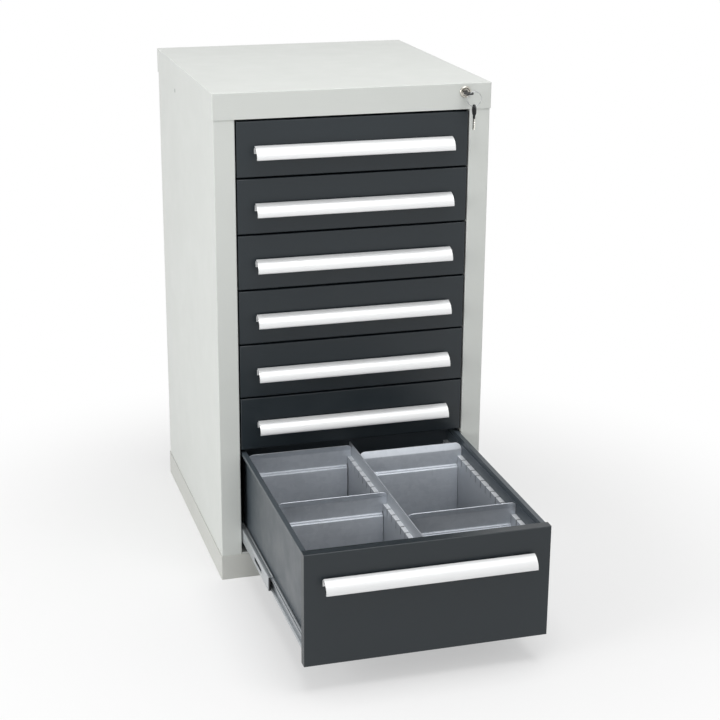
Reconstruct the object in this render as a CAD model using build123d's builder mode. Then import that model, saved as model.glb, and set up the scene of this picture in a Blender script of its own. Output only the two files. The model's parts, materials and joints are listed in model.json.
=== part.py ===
"""Steel drawer cabinet: shallow drawers over one deep drawer, which stands open.

X runs to the right, Y from the front to the back and Z up, in millimetres.
The origin is on the floor, in the middle of the plinth's front foot flange.
"""
import math
import os

from build123d import *

# Sheet and running gaps
casing_sheet = 1.2
drawer_sheet = 1.0
plinth_sheet = 1.5
seat_gap = 0.3

# Casing
opening_width = 422.0
stile_width = 37.5
stile_return = 15.0
back_flange = 20.0
rear_space = 49.0
cap_height = 46.0
cap_gap = 1.0
cap_lip = 12.0
base_height = 3.0
plinth_height = 47.0
plinth_top_flange = 25.0
plinth_foot_flange = 15.0
corner_radius = 2.0
fold_radius = 1.8

# Drawers
shallow_count = 6
shallow_pitch = 100.0
deep_pitch = 200.0
front_gap = 3.0
side_gap = 2.5
front_depth = 18.0
front_lip = 12.0
tray_lift = 5.0
rim_drop = 3.0
rim_width = 9.2
rim_lip = 6.0
rim_step = 1.5
rim_step_drop = 9.0
rim_round = 0.9
tray_overhang = 20.0
rear_rim = 8.0

# Handles
handle_inset = 30.5
handle_drop = 41.0
handle_height = 21.0
handle_reach = 25.0
handle_wall = 1.8
handle_groove = 4.0
handle_groove_depth = 5.0
handle_web = 2.0
handle_web_height = 10.0
handle_bead = 1.7

# Ball-bearing slides
slide_length = 450.0
slide_thickness = 12.7
slide_sheet = 1.2
slide_rise = 30.0
slide_front_gap = 2.5
race_gap = 0.4
cabinet_member_height = 35.0
middle_member_height = 27.0
middle_member_cut = 20.0
window_place = 80.0
window_length = 54.0
window_height = 7.0
member_lip = 7.0
member_bend = 1.6
stop_length = 10.0
stop_plate = 2.0

# Slotted uprights that carry the slides
upright_width = 30.0
rear_upright_place = 410.0
upright_slot_height = 12.0
upright_slot_width = 4.0
upright_slot_pitch = 100.0

# Central lock
lock_edge_drop = 15.5
lock_inset = 10.0
lock_ring_radius = 10.3
lock_ring_depth = 3.0
barrel_radius = 8.5
barrel_depth = 15.0
plug_radius = 6.0
plug_gap = 0.1
plug_recess = 0.5
cam_plate = 1.8
cam_radius = 5.0
cam_pin_offset = 7.07
cam_pin_angle = 45.0
cam_pin_radius = 2.0
rod_gap = 0.5
rod_plate = 3.0
rod_width = 12.0
rod_tail = 25.0
rod_inset = 3.0
rod_guide = 1.5
finger_height = 8.0
finger_reach = 10.5
finger_gap = 0.6
catch_length = 12.0
catch_drop = 10.0
catch_play = 1.5

# Keys
key_plate = 2.2
bow_length = 20.0
bow_height = 17.0
key_neck = 5.0
blade_plate = 1.8
blade_height = 7.0
blade_length = 20.0
blade_in_lock = 14.0
blade_cut = 1.4
blade_cuts = ((0.9, 0), (0.75, 1), (0.6, 0), (0.45, 1), (0.3, 0))
key_overlap = 1.0
key_hole_radius = 2.5
key_hole_edge = 5.0
ring_radius = 13.0
ring_wire = 0.7
ring_sides = 6
ring_lean = 45.0

# Divider set in the deep drawer
rail_depth = 8.0
rail_share = 0.87
divider_drop = 6.0
slot_pitch = 25.0
slot_width = 3.0
slot_height = 14.0
first_slot = 12.5
bead_drop = 17.0
bead_step = 3.0
top_fold = 13.0
top_fold_angle = 30.0
divider_corner = 12.0
divider_places_left = (212.5, 437.5)
divider_places_right = (112.5, 387.5)
strip_leans_back = divider_places_right[-1:]

# Places that follow from those sizes
tray_depth = slide_length + tray_overhang
body_depth = front_depth + tray_depth + rear_space
body_half = opening_width / 2 + stile_width
cap_half_x = body_half + seat_gap + casing_sheet
cap_half_y = body_depth / 2 + seat_gap + casing_sheet
middle_y = cap_half_y - plinth_foot_flange / 2
cap_front = middle_y - cap_half_y
body_front = middle_y - body_depth / 2
body_back = middle_y + body_depth / 2
base_top = plinth_height + base_height
opening_top = base_top + deep_pitch + shallow_count * shallow_pitch + front_gap
cap_bottom = opening_top + cap_gap
casing_height = cap_bottom + cap_height
tray_front = body_front + front_depth
wall_x = opening_width / 2 - slide_thickness
tray_inner_x = wall_x - drawer_sheet
slide_start = tray_front + slide_front_gap
slide_travel = slide_length
lock_x = opening_width / 2 - lock_inset
lock_z = casing_height - lock_edge_drop
rod_front = tray_front + rod_gap
front_upright = rod_front + rod_plate + seat_gap
catch_start = rod_front + rod_plate + catch_play


class Drawer:
    """Where one drawer stands: the underside of its front, its height and how far out it is."""

    def __init__(self, number, bottom, pitch, out):
        self.number = number
        self.bottom = bottom
        self.height = pitch - front_gap
        self.out = out
        self.rim = bottom + self.height - rim_drop
        self.slide_z = bottom + slide_rise


def list_drawers():
    """The shallow drawers from the top down, then the deep one at the bottom."""
    first = base_top + deep_pitch + front_gap
    drawers = []
    for index in range(shallow_count):
        level = shallow_count - 1 - index
        drawers.append(Drawer(index + 1, first + level * shallow_pitch, shallow_pitch, 0.0))
    drawers.append(Drawer(shallow_count + 1, base_top + front_gap, deep_pitch, slide_travel))
    return drawers


drawers = list_drawers()
deep_drawer = drawers[-1]
os.makedirs("parts", exist_ok=True)


def save(part, name):
    """Writes one finished piece under its own name."""
    part.label = name
    export_step(part, f"parts/{name}.step")


# Casing


def side_panel(side):
    """A side sheet folded round the stile and its return in front and a flange behind."""
    opening_x = side * opening_width / 2
    outer_x = side * body_half
    with BuildPart() as panel:
        with BuildSketch(Plane.XY.offset(plinth_height)):
            with BuildLine():
                FilletPolyline(
                    (opening_x, body_front + stile_return),
                    (opening_x, body_front),
                    (outer_x, body_front),
                    (outer_x, body_back),
                    (outer_x - side * back_flange, body_back),
                    radius=fold_radius,
                )
                offset(amount=casing_sheet, side=Side.LEFT if side > 0 else Side.RIGHT)
            make_face()
        extrude(amount=casing_height - casing_sheet - seat_gap - plinth_height)
    return panel.part


save(side_panel(-1), "side_panel_left")
save(side_panel(1), "side_panel_right")

with BuildPart() as back_panel:
    back_half = body_half - fold_radius
    back_face = body_back - casing_sheet
    back_top = casing_height - casing_sheet - seat_gap
    with BuildSketch(Plane.YZ.offset(-back_half)):
        with BuildLine():
            FilletPolyline(
                (back_face - back_flange, base_top),
                (back_face, base_top),
                (back_face, back_top),
                (back_face - back_flange, back_top),
                radius=fold_radius,
            )
            offset(amount=casing_sheet, side=Side.LEFT)
        make_face()
    extrude(amount=2 * back_half)
save(back_panel.part, "back_panel")

with BuildPart() as top_cover:
    with BuildSketch(Plane.XY.offset(cap_bottom)):
        with Locations((0, middle_y)):
            RectangleRounded(2 * cap_half_x, 2 * cap_half_y, corner_radius)
    extrude(amount=cap_height)
    fillet(top_cover.faces().sort_by(Axis.Z)[-1].edges(), radius=fold_radius)
    with BuildSketch(Plane.XY.offset(cap_bottom)):
        with Locations((0, middle_y)):
            Rectangle(2 * (cap_half_x - casing_sheet), 2 * (cap_half_y - casing_sheet))
    extrude(amount=cap_height - casing_sheet, mode=Mode.SUBTRACT)
    # The front rim turns in over the opening, between the stiles.
    with BuildSketch(Plane.XY.offset(cap_bottom)):
        with Locations((0, cap_front + casing_sheet + cap_lip / 2)):
            Rectangle(opening_width - 2 * seat_gap, cap_lip)
    extrude(amount=casing_sheet)
    with BuildSketch(Plane.XZ.offset(-cap_front)):
        with Locations((lock_x, lock_z)):
            Circle(barrel_radius + seat_gap)
    extrude(amount=-casing_sheet, mode=Mode.SUBTRACT)
save(top_cover.part, "top_cover")

with BuildPart() as base_panel:
    base_half = body_half - fold_radius
    tongue_half = opening_width / 2 - seat_gap
    tongue_back = body_front + stile_return + seat_gap
    base_back = body_back - casing_sheet
    with BuildSketch(Plane.XY.offset(plinth_height)):
        with BuildLine():
            Polyline(
                (0, body_front),
                (tongue_half, body_front),
                (tongue_half, tongue_back),
                (base_half, tongue_back),
                (base_half, base_back),
                (0, base_back),
            )
            mirror(about=Plane.YZ)
        make_face()
    extrude(amount=base_height)
    offset(amount=-casing_sheet, openings=base_panel.faces().sort_by(Axis.Z)[0])
save(base_panel.part, "base_panel")

with BuildPart() as plinth:
    with BuildSketch(Plane.XY):
        with Locations((0, middle_y)):
            RectangleRounded(2 * cap_half_x, 2 * cap_half_y, corner_radius)
    extrude(amount=plinth_height)
    # The hollow steps in over the foot flange, out along the wall and in again under the top flange.
    for level, margin, height in (
        (0, plinth_foot_flange, plinth_sheet),
        (plinth_sheet, plinth_sheet, plinth_height - 2 * plinth_sheet),
        (plinth_height - plinth_sheet, plinth_top_flange, plinth_sheet),
    ):
        with BuildSketch(Plane.XY.offset(level)):
            with Locations((0, middle_y)):
                Rectangle(2 * (cap_half_x - margin), 2 * (cap_half_y - margin))
        extrude(amount=height, mode=Mode.SUBTRACT)
save(plinth.part, "plinth")


# Uprights behind the stiles, with the guides of the locking rod

rod_left = opening_width / 2 + rod_inset
rod_right = rod_left + rod_width


def guide_heights():
    """Three heights for the rod's guides, each midway between two fingers."""
    picks = (0, len(drawers) // 2 - 1, len(drawers) - 3)
    return [drawers[pick].bottom + slide_rise for pick in picks]


with BuildPart() as slide_uprights:
    upright_inner = opening_width / 2
    upright_outer = body_half - casing_sheet
    for start in (front_upright, slide_start + rear_upright_place):
        with BuildSketch(Plane.XY.offset(base_top)):
            with BuildLine():
                Polyline(
                    (upright_outer, start),
                    (upright_inner, start),
                    (upright_inner, start + upright_width),
                    (upright_outer, start + upright_width),
                )
                offset(amount=casing_sheet, side=Side.RIGHT, kind=Kind.INTERSECTION)
            make_face()
        extrude(amount=opening_top - base_top)
        upright_slots = int((opening_top - base_top) // upright_slot_pitch)
        with BuildSketch(Plane.YZ.offset(upright_inner)):
            with Locations((start + upright_width / 2, (base_top + opening_top) / 2)):
                with GridLocations(upright_width, upright_slot_pitch, 1, upright_slots):
                    Rectangle(upright_slot_width, upright_slot_height)
        extrude(amount=casing_sheet, mode=Mode.SUBTRACT)
    mirror(about=Plane.YZ)
    # Hooks turned out of the right front upright hold the locking rod against it.
    hook_front = rod_front - seat_gap - rod_guide
    for height in guide_heights():
        with BuildSketch(Plane.XY.offset(height)):
            with BuildLine():
                Polyline(
                    (rod_right + seat_gap, front_upright),
                    (rod_right + seat_gap, rod_front - seat_gap),
                    (rod_right - rod_guide, rod_front - seat_gap),
                    (rod_right - rod_guide, hook_front),
                    (rod_right + seat_gap + rod_guide, hook_front),
                    (rod_right + seat_gap + rod_guide, front_upright),
                    close=True,
                )
            make_face()
        extrude(amount=upright_slot_height)
save(slide_uprights.part, "slide_uprights")


# Slides: a cabinet member, a middle member with its end stop and a drawer member, in pairs

middle_outer = slide_thickness - slide_sheet - race_gap
middle_half = middle_member_height / 2
drawer_member_half = middle_half - slide_sheet - race_gap
middle_length = slide_length - middle_member_cut


with BuildPart() as cabinet_slide_members:
    half = cabinet_member_height / 2
    throat = middle_half + race_gap + slide_sheet
    for drawer in drawers:
        with BuildSketch(Plane.XZ.offset(-slide_start)):
            with BuildLine():
                inner_x = wall_x + member_lip / 2
                outer_x = wall_x + slide_thickness
                z = drawer.slide_z
                Polyline(
                    (inner_x, z + throat),
                    (inner_x + member_lip / 3, z + throat),
                    (inner_x + 2 * member_lip / 3, z + half),
                    (outer_x, z + half),
                    (outer_x, z - half),
                    (inner_x + 2 * member_lip / 3, z - half),
                    (inner_x + member_lip / 3, z - throat),
                    (inner_x, z - throat),
                )
                offset(amount=slide_sheet, side=Side.RIGHT, kind=Kind.INTERSECTION)
            make_face()
        extrude(amount=-slide_length)
    mirror(about=Plane.YZ)
save(cabinet_slide_members.part, "cabinet_slide_members")


def middle_members(drawer):
    """The pair of middle members, which run out half as far as their drawer."""
    start = slide_start - drawer.out / 2
    z = drawer.slide_z
    with BuildPart() as members:
        with BuildSketch(Plane.XZ.offset(-start)):
            with BuildLine():
                Polyline(
                    (wall_x + 2 * slide_sheet, z + middle_half),
                    (wall_x + middle_outer - member_bend, z + middle_half),
                    (wall_x + middle_outer, z + middle_half - member_bend),
                    (wall_x + middle_outer, z - middle_half + member_bend),
                    (wall_x + middle_outer - member_bend, z - middle_half),
                    (wall_x + 2 * slide_sheet, z - middle_half),
                )
                offset(amount=slide_sheet, side=Side.RIGHT, kind=Kind.INTERSECTION)
            make_face()
        extrude(amount=-middle_length)
        with BuildSketch(Plane.YZ.offset(wall_x + middle_outer)):
            with Locations((start + window_place, z)):
                Rectangle(window_length, window_height)
        extrude(amount=-slide_sheet, mode=Mode.SUBTRACT)
        mirror(about=Plane.YZ)
    return members.part


def end_stops(drawer):
    """The plastic caps on the front ends of the middle members, with a tongue inside each web."""
    start = slide_start - drawer.out / 2
    z = drawer.slide_z
    tongue_outer = middle_outer - slide_sheet
    tongue_inner = member_lip + race_gap
    with BuildPart() as stops:
        with BuildSketch(Plane.XZ.offset(-start)):
            with Locations((wall_x + (tongue_inner + middle_outer) / 2, z)):
                Rectangle(middle_outer - tongue_inner, middle_member_height)
        extrude(amount=stop_plate)
        with BuildSketch(Plane.XZ.offset(-start)):
            with Locations((wall_x + (tongue_inner + tongue_outer) / 2, z)):
                Rectangle(tongue_outer - tongue_inner, middle_member_height / 2)
        extrude(amount=-stop_length)
        mirror(about=Plane.YZ)
    return stops.part


def drawer_members(drawer):
    """The pair of members fixed to the tray's walls, with their lips turned out."""
    start = slide_start - drawer.out
    z = drawer.slide_z
    with BuildPart() as members:
        with BuildSketch(Plane.XZ.offset(-start)):
            with BuildLine():
                Polyline(
                    (wall_x + member_lip, z + drawer_member_half),
                    (wall_x + member_bend, z + drawer_member_half),
                    (wall_x, z + drawer_member_half - member_bend),
                    (wall_x, z - drawer_member_half + member_bend),
                    (wall_x + member_bend, z - drawer_member_half),
                    (wall_x + member_lip, z - drawer_member_half),
                )
                offset(amount=slide_sheet, side=Side.LEFT, kind=Kind.INTERSECTION)
            make_face()
        extrude(amount=-slide_length)
        mirror(about=Plane.YZ)
    return members.part


# Drawers: a folded tray, a boxed front and a curved handle


def tray(drawer):
    """A folded tray with a stepped wall, turned-out rims and the catch that the rod blocks."""
    start = tray_front - drawer.out
    floor = drawer.bottom + tray_lift
    step = drawer.rim - rim_step_drop
    step_x = tray_inner_x + rim_step
    rim_x = wall_x + rim_width
    with BuildPart() as body:
        with BuildSketch(Plane.XZ.offset(-start)):
            with BuildLine():
                Polyline(
                    (0, floor + drawer_sheet),
                    (tray_inner_x, floor + drawer_sheet),
                    (tray_inner_x, step),
                    (step_x, step),
                    (step_x, drawer.rim),
                    (rim_x, drawer.rim),
                    (rim_x, drawer.rim - rim_lip),
                    (rim_x - drawer_sheet, drawer.rim - rim_lip),
                    (rim_x - drawer_sheet, drawer.rim - drawer_sheet),
                    (step_x + drawer_sheet, drawer.rim - drawer_sheet),
                    (step_x + drawer_sheet, step - drawer_sheet),
                    (wall_x, step - drawer_sheet),
                    (wall_x, floor),
                    (0, floor),
                    close=True,
                )
            make_face()
            mirror(about=Plane.YZ)
        extrude(amount=-tray_depth)
        with BuildSketch(Plane.XZ.offset(-start)) as end_wall:
            with Locations((0, (floor + step) / 2)):
                Rectangle(2 * tray_inner_x, step - floor)
            with Locations((0, (step + drawer.rim) / 2)):
                Rectangle(2 * step_x, drawer.rim - step)
        extrude(amount=-drawer_sheet)
        extrude(end_wall.sketch.moved(Location((0, tray_depth - drawer_sheet, 0))), amount=-drawer_sheet)
        with BuildSketch(Plane.XY.offset(drawer.rim)):
            with Locations((0, start + tray_depth + rear_rim / 2)):
                Rectangle(2 * tray_inner_x, rear_rim)
        extrude(amount=-drawer_sheet)
        rim_edges = body.edges().filter_by(Axis.Y).group_by(Axis.Z)[-1]
        fillet([rim_edges.sort_by(Axis.X)[0], rim_edges.sort_by(Axis.X)[-1]], radius=rim_round)
        with BuildSketch(Plane.YZ.offset(rim_x - drawer_sheet)):
            catch_y = catch_start - drawer.out + catch_length / 2
            with Locations((catch_y, drawer.rim - rim_lip - catch_drop / 2)):
                Rectangle(catch_length, catch_drop)
        extrude(amount=drawer_sheet)
    return body.part


def drawer_front(drawer):
    """The front, a shallow sheet box closed in front, with a lip all round its open back."""
    face = body_front - drawer.out
    width = opening_width - 2 * side_gap
    middle = drawer.bottom + drawer.height / 2
    with BuildPart() as front:
        with BuildSketch(Plane.XZ.offset(-face)):
            with Locations((0, middle)):
                Rectangle(width, drawer.height)
        extrude(amount=-front_depth)
        fillet(front.faces().sort_by(Axis.Y)[0].edges(), radius=fold_radius)
        with BuildSketch(Plane.XZ.offset(-face - drawer_sheet)):
            with Locations((0, middle)):
                Rectangle(width - 2 * drawer_sheet, drawer.height - 2 * drawer_sheet)
        extrude(amount=-(front_depth - 2 * drawer_sheet), mode=Mode.SUBTRACT)
        with BuildSketch(Plane.XZ.offset(-face - front_depth)):
            with Locations((0, middle)):
                Rectangle(width - 2 * front_lip, drawer.height - 2 * front_lip)
        extrude(amount=drawer_sheet, mode=Mode.SUBTRACT)
    return front.part


def handle(drawer):
    """A drawn aluminium strip with a quarter-ellipse section, a groove above and a beaded edge."""
    face = body_front - drawer.out
    low = drawer.bottom + drawer.height - handle_drop - handle_height
    length = opening_width - 2 * side_gap - 2 * handle_inset
    inner_reach = handle_reach - handle_wall
    inner_height = handle_height - handle_wall
    outer_angle = math.degrees(math.acos((handle_groove + handle_wall) / handle_reach))
    inner_angle = math.degrees(math.acos(handle_groove / inner_reach))
    web_top = low + handle_height - handle_groove_depth
    with BuildPart() as grip:
        with BuildSketch(Plane.YZ.offset(-length / 2)):
            with BuildLine():
                outer = EllipticalCenterArc(
                    (face, low), handle_reach, handle_height, 180 - outer_angle, arc_size=outer_angle
                )
                inner = EllipticalCenterArc(
                    (face, low), inner_reach, inner_height, 180 - inner_angle, arc_size=inner_angle
                )
                Line(outer @ 0, inner @ 0)
                Line(outer @ 1, inner @ 1)
            make_face()
            with Locations((face - handle_reach + handle_bead, low)):
                Circle(handle_bead)
            bridge = handle_reach * math.sqrt(1 - ((web_top - low) / handle_height) ** 2) - handle_wall / 2
            with Locations((face - bridge / 2, web_top - handle_wall / 2)):
                Rectangle(bridge, handle_wall)
            with Locations((face - handle_web / 2, web_top - handle_web_height / 2)):
                Rectangle(handle_web, handle_web_height)
        extrude(amount=length)
    return grip.part


for drawer in drawers:
    save(tray(drawer), f"drawer_{drawer.number}_tray")
    save(drawer_front(drawer), f"drawer_{drawer.number}_front")
    save(handle(drawer), f"drawer_{drawer.number}_handle")
    save(drawer_members(drawer), f"slide_{drawer.number}_drawer_members")
    save(middle_members(drawer), f"slide_{drawer.number}_middle_members")
    save(end_stops(drawer), f"slide_{drawer.number}_end_stops")


# Divider set of the deep drawer

insert_front = tray_front - deep_drawer.out + drawer_sheet
insert_back = insert_front + tray_depth - 2 * drawer_sheet
insert_floor = deep_drawer.bottom + tray_lift + drawer_sheet
insert_height = deep_drawer.rim - divider_drop - insert_floor
ledge = insert_floor + rail_share * insert_height
rail_face = tray_inner_x - rail_depth
slot_count = int((tray_depth - 2 * first_slot) // slot_pitch) + 1


def slot_y(index):
    """The middle of one slot, counted from the front."""
    return insert_front + first_slot + index * slot_pitch


def slot_index(place):
    """The number of the slot at one place, which is measured from the tray's front wall."""
    return round((place - first_slot) / slot_pitch)


def cut_slots(side, face_x, count):
    """Cuts a row of slots through a ledge, from beyond its face to its root."""
    x = face_x + side * (rail_depth - drawer_sheet) / 2
    middle_y = (slot_y(0) + slot_y(count - 1)) / 2
    with BuildSketch(Plane.XY.offset(ledge)) as slots:
        with Locations((x, middle_y)):
            with GridLocations(1, slot_pitch, 1, count):
                Rectangle(rail_depth + drawer_sheet, slot_width)
    extrude(slots.sketch, amount=-slot_height, mode=Mode.SUBTRACT)


with BuildPart() as side_rails:
    with BuildSketch(Plane.XZ.offset(-insert_front)):
        with BuildLine():
            Polyline(
                (tray_inner_x, ledge),
                (rail_face, ledge),
                (rail_face, insert_floor),
                (rail_face + drawer_sheet, insert_floor),
                (rail_face + drawer_sheet, ledge - drawer_sheet),
                (tray_inner_x, ledge - drawer_sheet),
                close=True,
            )
        make_face()
    extrude(amount=-(insert_back - insert_front))
    cut_slots(1, rail_face, slot_count)
    mirror(about=Plane.YZ)
save(side_rails.part, "side_rails")

with BuildPart() as centre_divider:
    centre_slots = slot_index(divider_places_left[-1]) + 1
    centre_back = slot_y(centre_slots) - slot_pitch / 2
    centre_top = insert_floor + insert_height
    with BuildSketch(Plane.XZ.offset(-insert_front)):
        with BuildLine():
            Polyline(
                (0, centre_top),
                (drawer_sheet, centre_top),
                (drawer_sheet, ledge),
                (rail_depth, ledge),
                (rail_depth, insert_floor),
                (rail_depth - drawer_sheet, insert_floor),
                (rail_depth - drawer_sheet, ledge - drawer_sheet),
                (0, ledge - drawer_sheet),
                close=True,
            )
        make_face()
        mirror(about=Plane.YZ)
    extrude(amount=-(centre_back - insert_front))
    for side in (-1, 1):
        cut_slots(-side, side * rail_depth, centre_slots)
save(centre_divider.part, "centre_divider")


def cross_divider(side, place, lean_way):
    """One cross divider: it steps back twice under the ledge and has a leaning strip along its top."""
    y = slot_y(slot_index(place))
    inner_x = side * (drawer_sheet + seat_gap)
    outer_x = side * (tray_inner_x - seat_gap)
    lean = math.radians(top_fold_angle)
    fold_z = centre_top - top_fold * math.cos(lean)
    bead = ledge - bead_drop
    front = y - drawer_sheet / 2 - 2 * bead_step
    with BuildSketch(Plane.YZ.offset(min(inner_x, outer_x))) as section:
        with BuildLine():
            Polyline(
                (front, insert_floor),
                (front, bead - bead_step),
                (front + bead_step, bead - bead_step),
                (front + bead_step, bead),
                (front + 2 * bead_step, bead),
                (front + 2 * bead_step, fold_z),
                (front + 2 * bead_step + lean_way * top_fold * math.sin(lean), centre_top),
            )
            offset(amount=drawer_sheet, side=Side.RIGHT, kind=Kind.INTERSECTION)
        make_face()
    extrude(section.sketch, amount=abs(outer_x - inner_x))
    # At each side the plate is cut back below its tab in the ledge's slot, and rounded at the top.
    tab_foot = ledge - slot_height + seat_gap
    tab = rail_depth + seat_gap
    for edge_x in (inner_x, outer_x):
        inward = math.copysign(1, (inner_x + outer_x) / 2 - edge_x)
        with BuildSketch(Plane.XZ.offset(drawer_sheet - front)) as cut:
            with Locations((edge_x + inward * divider_corner / 2, centre_top - divider_corner / 2)):
                Rectangle(divider_corner, divider_corner)
            with Locations((edge_x + inward * divider_corner, centre_top - divider_corner)):
                Circle(divider_corner, mode=Mode.SUBTRACT)
            with Locations((edge_x + inward * tab / 2, (insert_floor + tab_foot) / 2)):
                Rectangle(tab, tab_foot - insert_floor)
        extrude(cut.sketch, amount=-2 * top_fold, mode=Mode.SUBTRACT)


with BuildPart() as cross_dividers:
    for side, places in ((-1, divider_places_left), (1, divider_places_right)):
        for place in places:
            cross_divider(side, place, 1 if place in strip_leans_back else -1)
save(cross_dividers.part, "cross_dividers")


# Lock, keys and locking rod

lock_plane = Plane.XZ.offset(-cap_front)
barrel_back = cap_front + barrel_depth
plug_front = cap_front - lock_ring_depth + plug_recess
pin_x = lock_x - cam_pin_offset * math.cos(math.radians(cam_pin_angle))
pin_z = lock_z - cam_pin_offset * math.sin(math.radians(cam_pin_angle))

with BuildPart() as lock_housing:
    with BuildSketch(lock_plane):
        with Locations((lock_x, lock_z)):
            Circle(lock_ring_radius)
    extrude(amount=lock_ring_depth)
    chamfer(lock_housing.faces().sort_by(Axis.Y)[0].edges(), length=lock_ring_depth / 2)
    with BuildSketch(lock_plane):
        with Locations((lock_x, lock_z)):
            Circle(barrel_radius)
    extrude(amount=-barrel_depth)
    with BuildSketch(Plane.XZ.offset(-barrel_back)):
        with Locations((lock_x, lock_z)):
            Circle(plug_radius + plug_gap)
    extrude(amount=barrel_depth + lock_ring_depth, mode=Mode.SUBTRACT)
save(lock_housing.part, "lock_housing")

with BuildPart() as lock_plug:
    with BuildSketch(Plane.XZ.offset(-barrel_back)):
        with Locations((lock_x, lock_z)):
            Circle(plug_radius)
    extrude(amount=barrel_back - plug_front)
    with BuildSketch(Plane.XZ.offset(-plug_front)):
        with Locations((lock_x, lock_z)):
            Rectangle(blade_height + seat_gap, key_plate + seat_gap)
    extrude(amount=-barrel_depth, mode=Mode.SUBTRACT)
save(lock_plug.part, "lock_plug")

with BuildPart() as lock_cam:
    with BuildSketch(Plane.XZ.offset(-barrel_back)):
        with Locations((lock_x, lock_z)):
            Circle(cam_radius)
        with Locations((pin_x, pin_z)):
            Circle(cam_pin_radius + cam_plate / 2)
    extrude(amount=-cam_plate)
    with BuildSketch(Plane.XZ.offset(-barrel_back)):
        with Locations((pin_x, pin_z)):
            Circle(cam_pin_radius)
    extrude(amount=-(rod_front + rod_plate + cam_plate / 2 - barrel_back))
save(lock_cam.part, "lock_cam")


def key_profile(plane, length):
    """One key in its own plane: the bow round the origin, then the neck and the blade along +X."""
    neck_start = bow_length / 2 - key_overlap
    blade_start = bow_length / 2 + key_neck
    with BuildSketch(plane) as head:
        Ellipse(bow_length / 2, bow_height / 2)
        with Locations(((neck_start + blade_start) / 2, 0)):
            Rectangle(blade_start - neck_start, blade_height + key_overlap)
        with Locations((key_hole_edge - bow_length / 2, 0)):
            Circle(key_hole_radius, mode=Mode.SUBTRACT)
    extrude(head.sketch, amount=key_plate / 2, both=True)
    edge = [(blade_start + share * length, blade_height / 2 - cut * blade_cut) for share, cut in blade_cuts]
    with BuildSketch(plane) as blade:
        with BuildLine():
            Polyline(
                (blade_start - key_overlap, blade_height / 2),
                (blade_start - key_overlap, -blade_height / 2),
                (blade_start + blade_cuts[0][0] * length, -blade_height / 2),
                (blade_start + length, 0),
                *edge,
                close=True,
            )
        make_face()
    extrude(blade.sketch, amount=blade_plate / 2, both=True)


bow_y = plug_front - key_neck - bow_length / 2
hole_y = bow_y - bow_length / 2 + key_hole_edge
with BuildPart() as key:
    key_profile(Plane(origin=(lock_x, bow_y, lock_z), x_dir=(0, 1, 0), z_dir=(0, 0, 1)), blade_in_lock)
save(key.part, "key")

# The ring leans out of the level bow's hole, so that the spare key hangs beside the top drawer's path.
ring_x = lock_x + ring_radius * math.cos(math.radians(ring_lean))
ring_z = lock_z - ring_radius * math.sin(math.radians(ring_lean))
with BuildPart() as key_ring:
    with BuildSketch(Plane.YZ.offset(ring_x)):
        with Locations((hole_y, ring_z + ring_radius)):
            RegularPolygon(ring_wire, ring_sides)
    revolve(axis=Axis((ring_x, hole_y, ring_z), (0, 1, 0)))
save(key_ring.part, "key_ring")

spare_hole_z = ring_z - ring_radius - (key_hole_radius - ring_wire - seat_gap)
with BuildPart() as spare_key:
    spare_centre = (ring_x, hole_y, spare_hole_z - bow_length / 2 + key_hole_edge)
    key_profile(Plane(origin=spare_centre, x_dir=(0, 0, -1), z_dir=(1, 0, 0)), blade_length)
save(spare_key.part, "spare_key")

with BuildPart() as lock_rod:
    rod_foot = deep_drawer.rim - rim_lip - catch_drop - rod_tail
    rod_lift = 2 * (lock_z - pin_z)
    head_top = casing_height - casing_sheet - rod_lift - rod_gap
    head_left = lock_x - cam_pin_offset - cam_pin_radius
    slot_end = pin_x + cam_pin_radius + seat_gap
    with BuildSketch(Plane.XZ.offset(-rod_front)):
        with Locations(((rod_left + rod_right) / 2, (rod_foot + head_top) / 2)):
            Rectangle(rod_width, head_top - rod_foot)
        with Locations(((head_left + rod_right) / 2, pin_z)):
            Rectangle(rod_right - head_left, 2 * (head_top - pin_z))
        for drawer in drawers:
            finger_top = drawer.rim - rim_lip - catch_drop - finger_gap
            with Locations((rod_left - finger_reach / 2, finger_top - finger_height / 2)):
                Rectangle(finger_reach, finger_height)
        # The cam's pin runs in a slot that is open on the left, and lifts the rod by its upper edge.
        with Locations((slot_end - rod_width / 2, pin_z)):
            SlotOverall(rod_width, 2 * cam_pin_radius + 2 * seat_gap, mode=Mode.SUBTRACT)
    extrude(amount=-rod_plate)
save(lock_rod.part, "lock_rod")
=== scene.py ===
# %% [markdown]
# # A steel drawer cabinet
# The cabinet is a folded steel casing with seven drawers on ball-bearing slides. The lowest, deep drawer
# stands open and shows its set of sheet dividers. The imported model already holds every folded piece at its
# real size, so this script mostly gives those pieces their finishes. It models anew what is too small or too
# round for plain folds: the lock's ring, the keys, the split ring, the moving slide members with their end
# pieces, the cross dividers, and the rivets and plugs.

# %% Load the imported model
import json
import math

import bmesh
import bpy
from mathutils import Matrix, Vector


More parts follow.
